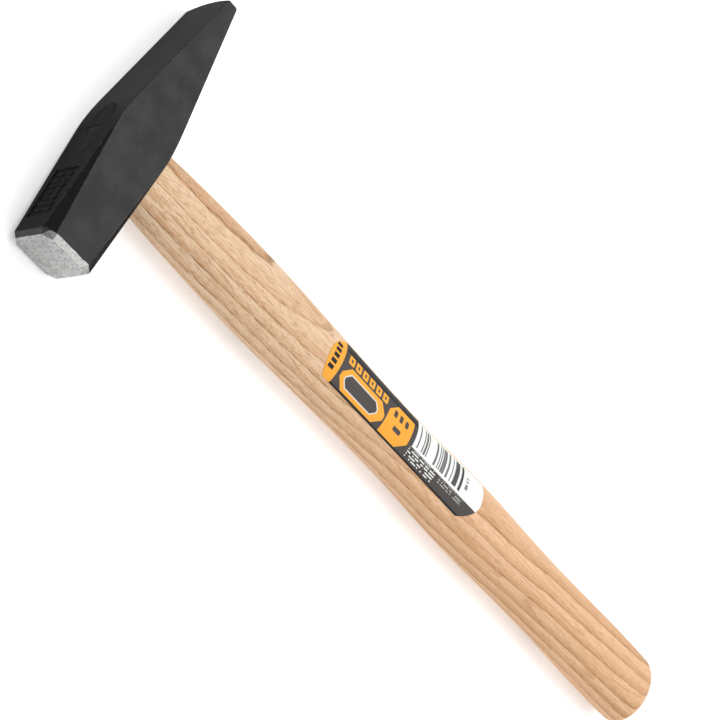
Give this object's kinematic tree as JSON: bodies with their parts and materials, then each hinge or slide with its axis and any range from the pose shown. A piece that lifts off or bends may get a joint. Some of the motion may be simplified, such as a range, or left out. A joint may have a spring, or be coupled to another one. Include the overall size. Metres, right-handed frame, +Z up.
{
  "type": "cross-pein hammer",
  "caption": "Engineer's hammer with a flat square striking face and a cross pein, a black coated forged head and an oval ash handle wedged into its eye.",
  "frame": {"origin": "on the lower cheek of the head, where the handle's centre line crosses the head's centre line", "axes": "+X along the handle from the head to the butt, +Y from the striking face to the pein, +Z up from the lower cheek to the upper cheek"},
  "size_m": [0.2799, 0.095, 0.019],
  "materials": {
    "coated_steel": "matte black coat over forged steel, with a bare ground striking face",
    "ash": "sanded ash under a thin clear lacquer, grain along the handle",
    "wedge_wood": "plain hardwood, coated black on its driven end",
    "wedge_steel": "plain pressed steel, coated black on its driven end",
    "label_print": "printed film label with a slight sheen"
  },
  "bodies": {
    "root": {"head": "coated_steel", "handle": "ash", "wooden_wedge": "wedge_wood", "steel_wedge": "wedge_steel", "label": "label_print"}
  },
  "joints": []
}
